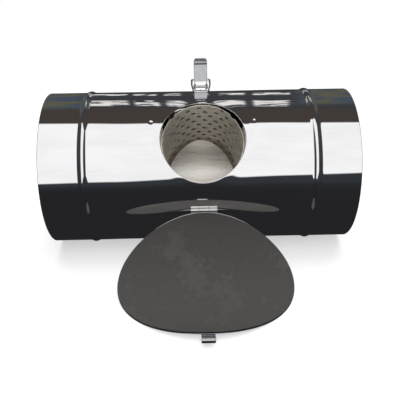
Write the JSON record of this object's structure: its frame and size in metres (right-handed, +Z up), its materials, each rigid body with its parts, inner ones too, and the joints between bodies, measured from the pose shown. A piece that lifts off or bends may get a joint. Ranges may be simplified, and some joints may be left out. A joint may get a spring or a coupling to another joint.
{
  "type": "chimney charcoal starter",
  "caption": "Polished steel flue section lying on its side, with a perforated cylindrical basket across its bore and a lined, hinged door held by a toggle latch.",
  "frame": {"origin": "centre of the flue's left end, on the flue's axis", "axes": "+X along the flue towards its right end, +Z up with the flue lying on its side and the door open, -Y towards the open door"},
  "size_m": [0.298, 0.2704, 0.1835],
  "materials": {
    "polished_sheet": "mirror-polished stainless sheet",
    "perforated_sheet": "dull mill-finish perforated sheet",
    "plain_sheet": "satin sheet",
    "tab_sheet": "satin sheet",
    "lining": "matt dark heat-proof lining sheet",
    "hinge_steel": "fine-brushed",
    "pin_steel": "turned",
    "rivet_steel": "formed heads",
    "latch_steel": "bright pressed stainless",
    "wire_steel": "bright drawn wire",
    "weld": "dressed seam weld"
  },
  "bodies": {
    "flue": {"flue_shell": "polished_sheet", "seam_weld": "weld", "basket_wall": "perforated_sheet", "basket_end_cap": "plain_sheet", "basket_tab_left": "tab_sheet", "basket_tab_right": "tab_sheet", "hinge_flue_leaf": "hinge_steel", "hinge_pin": "pin_steel", "hinge_flue_rivets": "rivet_steel", "latch_base": "latch_steel", "latch_base_rivets": "rivet_steel", "latch_pivot_pin": "pin_steel"},
    "door": {"door_panel": "polished_sheet", "door_lining": "lining", "hinge_door_leaf": "hinge_steel", "hinge_door_rivets": "rivet_steel", "catch_plate": "latch_steel", "catch_rivets": "rivet_steel"},
    "lever": {"latch_lever": "latch_steel"},
    "bail": {"latch_bail": "wire_steel"}
  },
  "joints": [
    {"name": "door_hinge", "type": "hinge", "parent": "flue", "child": "door", "pos_m": [0.152, -0.07671, -0.01355], "axis": [1, 0, 0], "range_deg": [-159, 0]},
    {"name": "lever_pivot", "type": "hinge", "parent": "flue", "child": "lever", "pos_m": [0.152, 0.02195, 0.07714], "axis": [1, 0, 0], "range_deg": [-96, 0]},
    {"name": "bail_pivot", "type": "hinge", "parent": "lever", "child": "bail", "pos_m": [0.152, 0.02387, 0.08387], "axis": [1, 0, 0], "range_deg": [0, 57.2]}
  ],
  "couplings": [
    {"joint": "bail_pivot", "follows": "lever_pivot", "ratio": -0.595}
  ]
}
